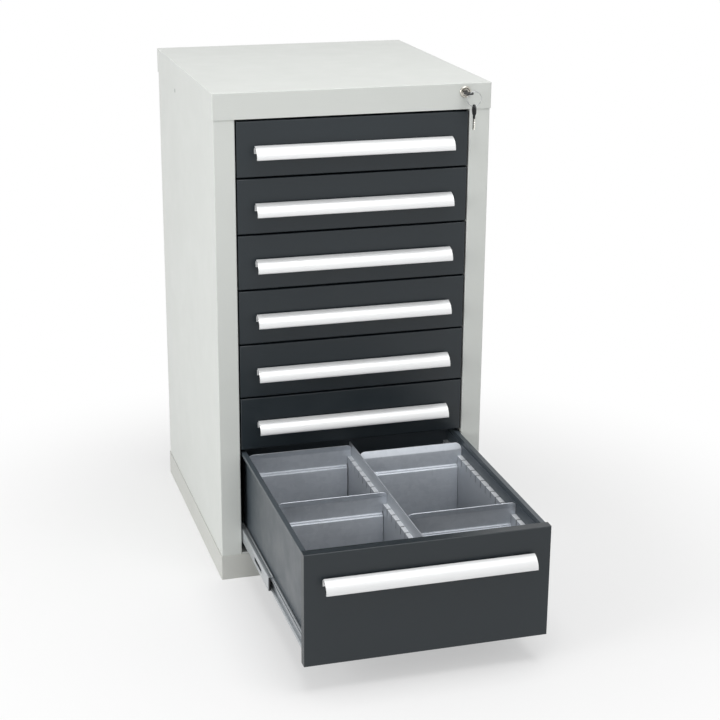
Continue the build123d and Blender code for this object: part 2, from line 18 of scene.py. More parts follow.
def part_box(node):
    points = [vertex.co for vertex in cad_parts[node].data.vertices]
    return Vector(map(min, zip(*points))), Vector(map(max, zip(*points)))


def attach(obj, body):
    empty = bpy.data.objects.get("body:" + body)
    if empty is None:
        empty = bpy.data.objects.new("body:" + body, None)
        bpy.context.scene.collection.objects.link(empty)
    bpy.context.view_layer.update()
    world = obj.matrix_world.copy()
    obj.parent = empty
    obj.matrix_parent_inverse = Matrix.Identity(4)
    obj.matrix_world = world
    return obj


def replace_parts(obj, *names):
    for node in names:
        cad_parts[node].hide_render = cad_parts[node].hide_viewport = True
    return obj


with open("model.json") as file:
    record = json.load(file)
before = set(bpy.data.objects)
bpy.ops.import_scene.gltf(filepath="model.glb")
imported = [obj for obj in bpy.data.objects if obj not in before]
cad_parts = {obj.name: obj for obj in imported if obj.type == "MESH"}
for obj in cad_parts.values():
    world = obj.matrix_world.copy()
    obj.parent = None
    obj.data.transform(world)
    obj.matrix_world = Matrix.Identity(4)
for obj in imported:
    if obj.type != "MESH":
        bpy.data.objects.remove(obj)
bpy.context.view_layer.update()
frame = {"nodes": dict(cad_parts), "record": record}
nodes = frame["nodes"]
print("pieces in the frame:", len(nodes))

# %% [markdown]
# ## Colours
# A paint maker gives a colour as it looks on a screen, in sRGB. The shaders count light, so they need the
# linear value. One small function turns a hex colour into linear light, so that every finish below can be
# written the way a colour card would give it.

# %% A hex colour as linear light
def shade(hex_colour):
    """The linear colour, with alpha, of an sRGB hex value such as '#C8CCC9'."""
    parts = [int(hex_colour[i:i + 2], 16) / 255 for i in (1, 3, 5)]
    linear = [v / 12.92 if v <= 0.04045 else ((v + 0.055) / 1.055) ** 2.4 for v in parts]
    return (*linear, 1.0)


# %% [markdown]
# ## Building a finish from nodes
# A finish is a tree of nodes: a pattern, a range it is mapped to, and the shader that uses it. Adding a node
# is always the same four steps, so one function does them: make it, set its attributes, fill its plain
# inputs and link the rest. Patterns read Object coordinates in metres, so a scale of 1 / size draws a real size.

# %% One function adds a node, one starts a finish
MM = 0.001


def add(tree, kind, values=None, links=None, **attributes):
    """Adds a shader node, with attributes, plain input values and links from other sockets."""
    node = tree.nodes.new("ShaderNode" + kind)
    for name, value in attributes.items():
        setattr(node, name, value)
    for name, value in (values or {}).items():
        node.inputs[name].default_value = value
    for name, socket in (links or {}).items():
        tree.links.new(socket, node.inputs[name])
    return node


def start_finish(name, **values):
    """A new material with one Principled shader, and the Object coordinates that its patterns read."""
    material = bpy.data.materials.new(name)
    material.use_nodes = True
    tree = material.node_tree
    tree.nodes.clear()
    shader = add(tree, "BsdfPrincipled", {k.replace("_", " "): v for k, v in values.items()})
    add(tree, "OutputMaterial", links={"Surface": shader.outputs["BSDF"]})
    place = add(tree, "TexCoord").outputs["Object"]
    return material, tree, shader, place


def feed(tree, shader, name, socket):
    """Links one socket of a pattern to one input of the shader."""
    tree.links.new(socket, shader.inputs[name])


# %% [markdown]
# ## Powder coat
# Casing and drawers are powder coated: dry paint is sprayed on the sheet and melted to one film. The melt
# never gets quite flat, so the film has a fine ripple, the orange peel, about 3 mm from crest to crest.
# A bitmap could show it, but a noise texture keeps its true size on every piece and needs no unwrapping.
# The film also pulls thin over the folds and dulls a little where hands and cloths pass, which a large, very
# faint noise gives to tone and gloss.

# %% Powder coat
def powder_coat(name, light, dark, gloss_low, gloss_high, peel_height, shine=0.5):
    """A satin powder coat: two close tones, a roughness range and the orange peel's height in millimetres."""
    material, tree, shader, place = start_finish(name, Metallic=0.0, IOR=1.5, Specular_IOR_Level=shine)
    cloud = add(tree, "TexNoise", {"Scale": 1 / 0.18, "Detail": 3.0, "Roughness": 0.55}, {"Vector": place})
    tone = add(tree, "Mix", {6: shade(dark), 7: shade(light)}, {0: cloud.outputs["Fac"]}, data_type="RGBA")
    feed(tree, shader, "Base Color", tone.outputs[2])
    wear = add(tree, "TexNoise", {"Scale": 1 / 0.045, "Detail": 4.0}, {"Vector": place})
    gloss = add(tree, "MapRange", {"From Min": 0.3, "From Max": 0.7, "To Min": gloss_low, "To Max": gloss_high},
                {"Value": wear.outputs["Fac"]})
    feed(tree, shader, "Roughness", gloss.outputs["Result"])
    # Real orange peel has crests 3 mm apart, finer than two pixels of the picture, so it is drawn at 7 mm.
    peel = add(tree, "TexNoise", {"Scale": 1 / 0.007, "Detail": 1.5}, {"Vector": place})
    bump = add(tree, "Bump", {"Strength": 0.35, "Distance": peel_height * MM}, {"Height": peel.outputs["Fac"]})
    feed(tree, shader, "Normal", bump.outputs["Normal"])
    return material


casing_coat = powder_coat("light_grey_powder_coat", "#D6D9D5", "#CFD2CE", 0.36, 0.50, 0.10)
plinth_coat = powder_coat("plinth_powder_coat", "#CDCEC9", "#C5C6C1", 0.38, 0.52, 0.10)
front_coat = powder_coat("anthracite_powder_coat", "#20282D", "#1B2328", 0.30, 0.40, 0.10, 0.46)
tray_coat = powder_coat("tray_powder_coat", "#434B51", "#3D444A", 0.32, 0.44, 0.08, 0.50)
print("powder coats:", casing_coat.name, plinth_coat.name, front_coat.name, tray_coat.name)

# %% [markdown]
# ## Anodised aluminium
# The handles are drawn aluminium strips with a clear anodised skin. Drawing leaves fine lines along the strip,
# and the skin turns the mirror into a soft, nearly white satin. An anisotropic shader could fake the lines,
# but stretched noise keeps them in the exported model too: it is drawn out along X, so each streak runs the
# length of the strip.

# %% Anodised aluminium
def drawn_metal(name, light, dark, gloss_low, gloss_high, stretch, line_height, metal=1.0):
    """A metal with lines along one axis. Stretch holds how many lines there are per metre along X, Y and Z."""
    material, tree, shader, place = start_finish(name, Metallic=metal)
    turned = add(tree, "Mapping", {"Scale": stretch}, {"Vector": place})
    lines = add(tree, "TexNoise", {"Scale": 1.0, "Detail": 3.0, "Roughness": 0.6},
                {"Vector": turned.outputs["Vector"]})
    tone = add(tree, "Mix", {6: shade(dark), 7: shade(light)}, {0: lines.outputs["Fac"]}, data_type="RGBA")
    feed(tree, shader, "Base Color", tone.outputs[2])
    gloss = add(tree, "MapRange", {"From Min": 0.3, "From Max": 0.7, "To Min": gloss_low, "To Max": gloss_high},
                {"Value": lines.outputs["Fac"]})
    feed(tree, shader, "Roughness", gloss.outputs["Result"])
    bump = add(tree, "Bump", {"Strength": 0.3, "Distance": line_height * MM}, {"Height": lines.outputs["Fac"]})
    feed(tree, shader, "Normal", bump.outputs["Normal"])
    return material


# The drawing lines are 0.1 mm wide, and are drawn 2 mm wide, so that the picture can hold them.
handle_skin = drawn_metal("anodised_aluminium", "#EAEBEB", "#E3E4E5", 0.38, 0.48, (6.0, 500.0, 500.0), 0.02, 0.4)
print("handles:", handle_skin.name)

# %% [markdown]
# ## Zinc coated sheet
# The dividers are cold-rolled sheet with a zinc coat. Zinc freezes in crystals, so the sheet shows a faint
# spangle, patches about 8 mm wide that each mirror a little differently, and the rolling draws it out one way.
# Voronoi cells are just such a growth from seeds, so they set the tone and the gloss of each patch. The tops of
# the slotted ledges get a painted highlight, a brighter tone that stands for the light falling on them. Comparing
# the height finds them.

# %% Zinc coated sheet
def zinc_sheet(name, light, dark, gloss_low, gloss_high, spangle, roll, relief, metal=1.0, painted_ledge_highlight=None):
    """Zinc with spangle and relief in millimetres, and its rolling lines per metre along X, Y and Z.

    The last argument holds the height in metres of a ledge top, and the colour of a painted highlight for the
    light on it."""
    material, tree, shader, place = start_finish(name, Metallic=metal)
    cells = add(tree, "TexVoronoi", {"Scale": 1 / (spangle * MM), "Randomness": 1.0}, {"Vector": place})
    patch = add(tree, "SeparateColor", links={"Color": cells.outputs["Color"]}).outputs["Red"]
    rolled = add(tree, "Mapping", {"Scale": roll}, {"Vector": place})
    lines = add(tree, "TexNoise", {"Scale": 1.0, "Detail": 4.0},
                {"Vector": rolled.outputs["Vector"]}).outputs["Fac"]
    blend = add(tree, "Mix", {0: 0.6}, {2: patch, 3: lines}, data_type="FLOAT").outputs[0]
    tone = add(tree, "Mix", {6: shade(dark), 7: shade(light)}, {0: blend}, data_type="RGBA")
    # The ledge tops, found by their height, get a painted highlight: a brighter colour for the light that falls on
    # them.
    if painted_ledge_highlight:
        height = add(tree, "SeparateXYZ", links={"Vector": place}).outputs["Z"]
        on_ledge = add(tree, "Math", {1: painted_ledge_highlight[0], 2: 0.6 * MM}, {0: height}, operation="COMPARE").outputs[0]
        tone = add(tree, "Mix", {7: shade(painted_ledge_highlight[1])}, {0: on_ledge, 6: tone.outputs[2]}, data_type="RGBA")
    feed(tree, shader, "Base Color", tone.outputs[2])
    gloss = add(tree, "MapRange", {"From Min": 0.2, "From Max": 0.8, "To Min": gloss_low, "To Max": gloss_high},
                {"Value": blend})
    feed(tree, shader, "Roughness", gloss.outputs["Result"])
    bump = add(tree, "Bump", {"Strength": 0.25, "Distance": relief * MM}, {"Height": lines})
    feed(tree, shader, "Normal", bump.outputs["Normal"])
    return material


divider_zinc = zinc_sheet("galvanised_sheet", "#D6DBE2", "#C3C9D1", 0.32, 0.46, 8.0, (40.0, 40.0, 300.0), 0.03,
                          0.3)
frame_zinc = zinc_sheet("hot_dip_galvanised_sheet", "#B0B4B6", "#8F9598", 0.36, 0.55, 12.0, (60.0, 60.0, 400.0),
                        0.03)
slide_zinc = zinc_sheet("bright_zinc_plate", "#BDC1C4", "#B4B8BB", 0.30, 0.36, 20.0, (90.0, 6.0, 90.0), 0.0, 0.7)
ledge_top = max(vert.co.z for vert in nodes["side_rails"].data.vertices)
# The rails and centre divider get a darker zinc, with a painted highlight along their ledge tops.
rail_zinc = zinc_sheet("galvanised_sheet_with_painted_ledge_highlight", "#B0B5BB", "#A0A5AC", 0.34, 0.48, 8.0, (40.0, 40.0, 300.0), 0.03,
                       0.3, (ledge_top, "#EEF1F4"))
print("zinc finishes:", divider_zinc.name, frame_zinc.name, slide_zinc.name, rail_zinc.name)

# %% [markdown]
# ## Black plastic, nickel and spring wire
# The end pieces of the slides are moulded nylon, whose mould was spark eroded: a fine even grain with no
# direction. The lock's ring is nickel plate over brass, warm and nearly a mirror, with faint turning marks.
# The key's bow is moulded plastic again and its blade is pressed nickel silver.

# %% Moulded plastic and plated metal
def moulded_plastic(name, light, dark, grain):
    """A matt moulded plastic, with a spark-eroded grain given in millimetres."""
    material, tree, shader, place = start_finish(name, Metallic=0.0, IOR=1.46)
    pits = add(tree, "TexNoise", {"Scale": 1 / (grain * MM), "Detail": 2.0}, {"Vector": place})
    tone = add(tree, "Mix", {6: shade(dark), 7: shade(light)}, {0: pits.outputs["Fac"]}, data_type="RGBA")
    feed(tree, shader, "Base Color", tone.outputs[2])
    gloss = add(tree, "MapRange", {"To Min": 0.40, "To Max": 0.58}, {"Value": pits.outputs["Fac"]})
    feed(tree, shader, "Roughness", gloss.outputs["Result"])
    bump = add(tree, "Bump", {"Strength": 0.4, "Distance": 0.03 * MM}, {"Height": pits.outputs["Fac"]})
    feed(tree, shader, "Normal", bump.outputs["Normal"])
    return material


# The real grain is about 0.1 mm, and the marks on nickel and wire are finer still. They are drawn 1 to 3 mm
# wide, so that they show at all.
black_plastic = moulded_plastic("moulded_black_nylon", "#232426", "#17181A", 1.0)
grey_plastic = moulded_plastic("moulded_grey_plug", "#B9BCB9", "#ACAFAC", 1.0)
lock_nickel = drawn_metal("nickel_plate", "#CFCBC2", "#B9B5AC", 0.12, 0.22, (900.0, 300.0, 900.0), 0.01)
blade_nickel = drawn_metal("pressed_nickel_silver", "#E4E2DB", "#D2D0C9", 0.34, 0.46, (500.0, 500.0, 500.0), 0.01)
spring_wire = drawn_metal("bright_spring_wire", "#C4C5C6", "#A5A7A8", 0.18, 0.30, (700.0, 700.0, 700.0), 0.01)
print("small finishes:", black_plastic.name, lock_nickel.name, blade_nickel.name, spring_wire.name)

# %% [markdown]
# ## The finishes go onto the folded pieces
# Every folded piece keeps its shape from the imported model, so it only needs its own finish in its material
# slot. The imported record says which kind of surface each piece has, so one table from kind to finish covers
# all the pieces, and none can be forgotten. The two pieces with slotted ledges then get a darker zinc, with a
# painted highlight on the ledge tops.

# %% Give each piece its finish
finishes = {
    "casing_paint": casing_coat,
    "plinth_paint": plinth_coat,
    "front_paint": front_coat,
    "tray_paint": tray_coat,
    "handle_aluminium": handle_skin,
    "galvanised_steel": frame_zinc,
    "slide_zinc": slide_zinc,
    "divider_zinc": divider_zinc,
    "stop_plastic": black_plastic,
    "lock_nickel": lock_nickel,
    "key_steel": blade_nickel,
    "ring_steel": spring_wire,
}
for subpart in frame["record"]["subparts"]:
    mesh = nodes[subpart["node"]].data
    mesh.materials.clear()
    mesh.materials.append(finishes[subpart["material_slot"]])
# The rails and the centre divider get the zinc with the painted highlight on their ledge tops.
for node in ("side_rails", "centre_divider"):
    nodes[node].data.materials[0] = rail_zinc

# %% [markdown]
# ## Making a new piece
# A new piece is shaped as a bmesh, an editable mesh held in memory. At the end it always goes the same way:
# its faces are turned outwards, it becomes an object that stands at the origin with its place in its points,
# it gets its finish, and it is told which moving body carries it.

# %% Turn a bmesh into a piece of the cabinet
def make_piece(name, bm, finish, body):
    """Finishes one bmesh as an object that rides on a body."""
    bmesh.ops.recalc_face_normals(bm, faces=bm.faces)
    mesh = bpy.data.meshes.new(name)
    bm.to_mesh(mesh)
    bm.free()
    mesh.materials.append(finish)
    piece = bpy.data.objects.new(name, mesh)
    bpy.context.scene.collection.objects.link(piece)
    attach(piece, body)
    print(name, "faces:", len(mesh.polygons))
    return piece


def smooth(piece, angle):
    """Shades a piece smooth, but for edges sharper than an angle in degrees."""
    piece.data.shade_smooth()
    piece.data.set_sharp_from_angle(angle=math.radians(angle))


# %% [markdown]
# ## Light along the folds
# Sheet steel folds round a small radius, and every fold carries one soft line of light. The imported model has
# those radii, but as a few flat strips. So the casing's, plinth's, trays', fronts' and handles' sheets get a copy
# whose loose triangles are merged and shaded smooth. Weighting the normals by face area keeps the wide panels
# flat and leaves the turning to the narrow strips. More strips would do it too, but would cost many faces.

# %% Smooth copies of the folded pieces
body_of = {node: body for body, members in frame["record"]["behaviour"]["bodies"].items() for node in members}
slot_of = {subpart["node"]: subpart["material_slot"] for subpart in frame["record"]["subparts"]}


def softened(node, angle):
    """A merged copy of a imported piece, smooth but for edges sharper than an angle, which stands for it."""
    loose = nodes[node].data.copy()
    loose.attributes.remove(loose.attributes["custom_normal"])
    bm = bmesh.new()
    bm.from_mesh(loose)
    bpy.data.meshes.remove(loose)
    bmesh.ops.remove_doubles(bm, verts=bm.verts, dist=0.01 * MM)
    piece = make_piece(f"{node}_sheet", bm, finishes[slot_of[node]], body_of[node])
    smooth(piece, angle)
    weighted = piece.modifiers.new("flat_panels", "WEIGHTED_NORMAL")
    weighted.weight = 50
    weighted.keep_sharp = True
    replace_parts(piece, node)
    return piece


FOLD_ANGLE = 40
for node in ("top_cover", "side_panel_left", "side_panel_right", "plinth"):
    softened(node, FOLD_ANGLE)
for number in range(1, 8):
    for kind in ("tray", "front", "handle"):
        softened(f"drawer_{number}_{kind}", FOLD_ANGLE)

# %% [markdown]
# ## The lock's ring
# The barrel of the lock ends in a nickel ring that stands 3 mm proud of the cover's front. It is a turned
# part, so its outline, half a section from the bore to the rim, is spun round the barrel's own axis. A
# bevelled disc would be quicker, but it would miss the soft dome and the dish that catch two separate glints.

# %% Spin the lock's ring and barrel
LOCK = Vector((0.201, -0.0075, 0.8845))
ring_outline = (
    (6.1, 15.0), (6.1, -2.2), (6.6, -2.35), (7.3, -2.9), (8.2, -3.0), (9.2, -2.7), (9.9, -2.0),
    (10.3, -1.0), (10.3, 0.0), (8.5, 0.0), (8.5, 15.0),
)
bm = bmesh.new()
corners = [bm.verts.new(LOCK + Vector((radius * MM, along * MM, 0))) for radius, along in ring_outline]
outline = [bm.edges.new((corners[i], corners[(i + 1) % len(corners)])) for i in range(len(corners))]
bmesh.ops.spin(bm, geom=corners + outline, cent=LOCK, axis=(0, 1, 0), angle=math.tau, steps=56, use_merge=True)
lock_ring = make_piece("lock_ring", bm, lock_nickel, "casing")
smooth(lock_ring, 40)
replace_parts(lock_ring, "lock_housing")

# %% [markdown]
# ## The keys
# A key has a plastic bow with a raised rim and a hole, a short neck, and a pressed blade with its cuts. Both
# keys are alike but for the length that shows. The bow is the gap between two loops, an ellipse and a
# circle, bridged to a flat face, extruded to its thickness and inset on both sides. The blade is a strip whose
# upper points are lowered in turn, which gives cuts without any cutting.

# %% Two functions for the bow and the blade
BOW_REACH, BOW_SIDE, BOW_PLATE, BOW_DISH, BOW_RIM = 10, 8.5, 2.2, 0.35, 1.0
HOLE_PLACE, HOLE_RADIUS = -5, 2.5
NECK_PLACE, NECK_SIZE = 12, (6, 7.8, 2.0)
BLADE_PLATE, BLADE_START, BLADE_WIDTH = 1.8, 14, 7


def pull(bm, made, offset):
    """Moves the points that an operator has just made."""
    points = [item for item in made["geom"] if isinstance(item, bmesh.types.BMVert)]
    bmesh.ops.translate(bm, verts=points, vec=offset)


def key_bow(name, place, body):
    """The plastic bow and neck. Along the key's own axes, X runs to the tip and Z through the plate."""
    bm = bmesh.new()
    low = Matrix.Translation((0, 0, -BOW_PLATE / 2 * MM))
    oval = Matrix.Diagonal((BOW_REACH * MM, BOW_SIDE * MM, 1, 1))
    hole_size = Matrix.Diagonal((HOLE_RADIUS * MM, HOLE_RADIUS * MM, 1, 1))
    hole = Matrix.Translation((HOLE_PLACE * MM, 0, 0)) @ hole_size
    bmesh.ops.create_circle(bm, segments=40, radius=1, matrix=low @ oval)
    bmesh.ops.create_circle(bm, segments=40, radius=1, matrix=low @ hole)
    bmesh.ops.bridge_loops(bm, edges=bm.edges[:])
    made = bmesh.ops.extrude_face_region(bm, geom=bm.faces[:])
    pull(bm, made, (0, 0, BOW_PLATE * MM))
    bmesh.ops.recalc_face_normals(bm, faces=bm.faces)
    for up in (1, -1):
        flat = [face for face in bm.faces if face.normal.z * up > 0.9]
        bmesh.ops.inset_region(bm, faces=flat, thickness=BOW_RIM * MM, depth=-BOW_DISH * MM)
    neck_size = Matrix.Diagonal((*(side * MM for side in NECK_SIZE), 1))
    neck = Matrix.Translation((NECK_PLACE * MM, 0, 0)) @ neck_size
    block = bmesh.ops.create_cube(bm, size=1, matrix=neck)["verts"]
    edges = list({edge for vert in block for edge in vert.link_edges})
    bmesh.ops.bevel(bm, geom=edges, offset=0.5 * MM, segments=2, profile=0.5, affect="EDGES", material=-1)
    bmesh.ops.transform(bm, matrix=place, verts=bm.verts)
    piece = make_piece(name, bm, black_plastic, body)
    smooth(piece, 35)
    return piece


def key_blade(name, place, length, body):
    """The pressed blade, with its cuts along one edge and a point at its end."""
    bm = bmesh.new()
    columns = 12
    centre = Matrix.Translation(((BLADE_START + length / 2) * MM, 0, -BLADE_PLATE / 2 * MM))
    size = Matrix.Diagonal(((length + 2) * MM, BLADE_WIDTH * MM, 1, 1))
    bmesh.ops.create_grid(bm, x_segments=columns, y_segments=1, size=0.5, matrix=centre @ size)
    upper = sorted((v for v in bm.verts if v.co.y > 0), key=lambda v: v.co.x)
    lower = sorted((v for v in bm.verts if v.co.y < 0), key=lambda v: v.co.x)
    for column in range(4, columns, 2):
        bmesh.ops.translate(bm, verts=[upper[column]], vec=(0, -(1.2 + 0.3 * (column % 3)) * MM, 0))
    bmesh.ops.translate(bm, verts=[upper[columns]], vec=(0, -3.2 * MM, 0))
    bmesh.ops.translate(bm, verts=[lower[columns]], vec=(0, 3.0 * MM, 0))
    made = bmesh.ops.extrude_face_region(bm, geom=bm.faces[:])
    pull(bm, made, (0, 0, BLADE_PLATE * MM))
    bmesh.ops.transform(bm, matrix=place, verts=bm.verts)
    return make_piece(name, bm, blade_nickel, body)


# %% [markdown]
# The key in the lock lies level, with its blade along Y. The spare key hangs under the split ring with its
# blade pointing down. A place matrix holds the three directions of the key's own axes and its bow's centre,
# so the same two functions make both keys.

# %% Place both keys
def key_place(centre, along, across):
    """The matrix that lays a key's own X and Y axes along two directions of the cabinet."""
    along, across = Vector(along), Vector(across)
    turn = Matrix((along, across, along.cross(across))).transposed().to_4x4()
    return Matrix.Translation(centre) @ turn


RING_RADIUS, RING_PLAY = 13.0, 1.5
RING_AT = Vector((LOCK.x + RING_RADIUS * MM * math.sqrt(0.5), -0.030, LOCK.z - RING_RADIUS * MM * math.sqrt(0.5)))
lock_key = key_place((LOCK.x, -0.025, LOCK.z), (0, 1, 0), (-1, 0, 0))
spare_drop = (RING_RADIUS + RING_PLAY - HOLE_PLACE) * MM
spare = key_place(RING_AT - Vector((0, 0, spare_drop)), (0, 0, -1), (0, -1, 0))
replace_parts(key_bow("key_bow", lock_key, "lock"), "key")
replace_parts(key_blade("key_blade", lock_key, 14, "lock"), "key")
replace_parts(key_bow("spare_key_bow", spare, "hanging_key"), "spare_key")
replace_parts(key_blade("spare_key_blade", spare, 20, "hanging_key"), "spare_key")
print("ring centre:", [round(v, 4) for v in RING_AT])

# %% [markdown]
# ## The split ring
# A key ring is spring wire wound nearly twice round, so that a key can be threaded on. A torus would show one
# closed hoop. Spinning a small circle for nearly two turns, with a small step along the axis each time, winds
# the wire as a machine does, and the circle's own faces close both ends.

# %% Wind the split ring
wire_radius, wire_pitch, wire_turn, wire_steps = 0.5, 1.0, 700, 112
bm = bmesh.new()
wire_start = Matrix.Translation(RING_AT + Vector((RING_RADIUS * MM, -wire_radius * MM, 0)))
bmesh.ops.create_circle(bm, cap_ends=True, segments=8, radius=wire_radius * MM, matrix=wire_start)
bmesh.ops.spin(bm, geom=bm.verts[:] + bm.edges[:] + bm.faces[:], cent=RING_AT, axis=(0, 1, 0),
               dvec=(0, wire_pitch * MM / wire_steps, 0), angle=math.radians(wire_turn), steps=wire_steps,
               use_merge=False)
split_ring = make_piece("split_ring", bm, spring_wire, "ring")
smooth(split_ring, 50)
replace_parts(split_ring, "key_ring")

# %% [markdown]
# ## Rolled slide members
# Each slide has three steel members. The two that move are rolled from strip: a web with a lip along each
# edge, and a shallow groove in each lip where the bearing balls run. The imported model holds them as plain
# folds. Here the section's outer line, listed for one half and mirrored, is pushed out along the slide in
# steps, the window is left out of the middle member's web, and Solidify's operator gives the strip its 1.2 mm.
# Walking the section in steps is better than cutting, because no cut edge has to be cleaned.

# %% Push a section along the slide and give it a thickness
STRIP = 1.2
CHANNEL_WALL, CHANNEL_CORE = 198.3, 204.0
drawer_lip = ((7.0, 11.9), (6.2, 11.9), (5.4, 10.9), (4.6, 10.6), (3.8, 10.9), (3.0, 11.9), (1.6, 11.9),
              (0.5, 11.4), (0.0, 10.3), (0.0, 3.5))
middle_lip = ((2.4, 13.5), (3.0, 13.5), (3.8, 12.9), (4.6, 12.7), (5.4, 12.9), (6.2, 13.5), (9.5, 13.5),
              (10.6, 13.0), (11.1, 11.9), (11.1, 3.5))


def turned_in(face, level):
    """True if a face looks into the channel, towards its core at the slide's level."""
    centre = face.calc_center_median()
    core = Vector((math.copysign(CHANNEL_CORE * MM, centre.x), centre.y, level))
    return face.normal.dot(centre - core) < 0


def rolled_members(number, kind, lip, window):
    """Both members of one kind on one drawer. Window is the start and end of the opening in the web, or None."""
    node = f"slide_{number}_{kind}"
    low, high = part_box(node)
    level, front, back = (low.z + high.z) / 2, low.y, high.y
    bm = bmesh.new()
    for side in (-1, 1):
        outline = [(x, z) for x, z in lip] + [(x, -z) for x, z in reversed(lip)]
        points = [bm.verts.new((side * (CHANNEL_WALL + x) * MM, front, level + z * MM)) for x, z in outline]
        edges = [bm.edges.new(pair) for pair in zip(points, points[1:])]
        opening_ends = [] if window is None else [front + window[0] * MM, front + window[1] * MM]
        stations = [front, *opening_ends, back]
        for start, end in zip(stations, stations[1:]):
            made = bmesh.ops.extrude_edge_only(bm, edges=edges)["geom"]
            edges = [item for item in made if isinstance(item, bmesh.types.BMEdge)]
            pull(bm, {"geom": made}, (0, end - start, 0))
    if window is not None:
        middle = front + (window[0] + window[1]) / 2 * MM
        opening = [face for face in bm.faces if abs(face.calc_center_median().z - level) < MM
                   and abs(face.calc_center_median().y - middle) < MM]
        bmesh.ops.delete(bm, geom=opening, context="FACES")
    bmesh.ops.recalc_face_normals(bm, faces=bm.faces)
    bmesh.ops.reverse_faces(bm, faces=[face for face in bm.faces if turned_in(face, level)])
    bmesh.ops.solidify(bm, geom=bm.faces[:], thickness=STRIP * MM)
    body = f"drawer_{number}" if kind == "drawer_members" else f"slide_{number}_middle"
    piece = make_piece(f"rolled_{node}", bm, slide_zinc, body)
    smooth(piece, 30)
    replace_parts(piece, node)
    return piece


for number in range(1, 8):
    rolled_members(number, "drawer_members", drawer_lip, None)
    rolled_members(number, "middle_members", middle_lip, (53, 107))

# %% [markdown]
# ## End pieces of the slides
# A black nylon block is pressed into the front end of each middle member, to catch the drawer softly. Its
# head is a little smaller than the steel channel, so the cut end of the steel shows round it as a bright
# line. A block with bevelled edges does for the head and another for the tongue in the channel.

# %% Press the end pieces into the channels
def nylon_block(bm, low, high, edge):
    """Adds a block between two corners in millimetres, with its edges rounded."""
    low, high = Vector(low) * MM, Vector(high) * MM
    size = high - low
    place = Matrix.Translation((low + high) / 2) @ Matrix.Diagonal((abs(size.x), abs(size.y), abs(size.z), 1))
    block = bmesh.ops.create_cube(bm, size=1, matrix=place)["verts"]
    edges = list({link for vert in block for link in vert.link_edges})
    bmesh.ops.bevel(bm, geom=edges, offset=edge * MM, segments=2, profile=0.5, affect="EDGES", material=-1)


# The head and the tongue: inner and outer side, front and back end, half height.
BLOCKS = ((206.2, 208.4, 0.2, 3.4, 11.6), (206.0, 208.0, 2.6, 12.0, 6.5))

for number in range(1, 8):
    node = f"slide_{number}_end_stops"
    low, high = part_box(node)
    level, front = (low.z + high.z) / 2 / MM, low.y / MM
    bm = bmesh.new()
    for side in (-1, 1):
        for inner, outer, start, end, half in BLOCKS:
            near = (side * inner, front + start, level - half)
            far = (side * outer, front + end, level + half)
            nylon_block(bm, near, far, 0.5)
    piece = make_piece(f"nylon_{node}", bm, black_plastic, f"slide_{number}_middle")
    smooth(piece, 40)
    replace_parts(piece, node)

# %% [markdown]
# ## Cross dividers
# A cross divider is one sheet of zinc coated steel. It steps back twice in a double bead, which makes it
# stiff, and its top is folded to a leaning strip. Three lean forwards and one, turned round, leans back and
# shines. The sheet is made as in the shop: first its folded line, pushed out to full width, then the top
# corners rounded, the folds given their radius, the ends cut back under the tabs, and last the thickness.

# %% Fold one cross divider
DIVIDER_FRONT, DIVIDER_FLOOR, LEDGE, DIVIDER_TOP = -437.0, 59.0, 217.34, 241.0
BEAD = LEDGE - 17.0
TAB_FOOT = LEDGE - 13.7
DIVIDER_INNER, DIVIDER_OUTER, TAB = 1.3, 197.0, 8.3
BEAD_STEP, STRIP_FOLD, STRIP_REACH = 3, 229.74, 6.5
DIVIDER_SHEET, FOLD_RADIUS, CORNER_RADIUS = 1.0, 1.3, 11.0


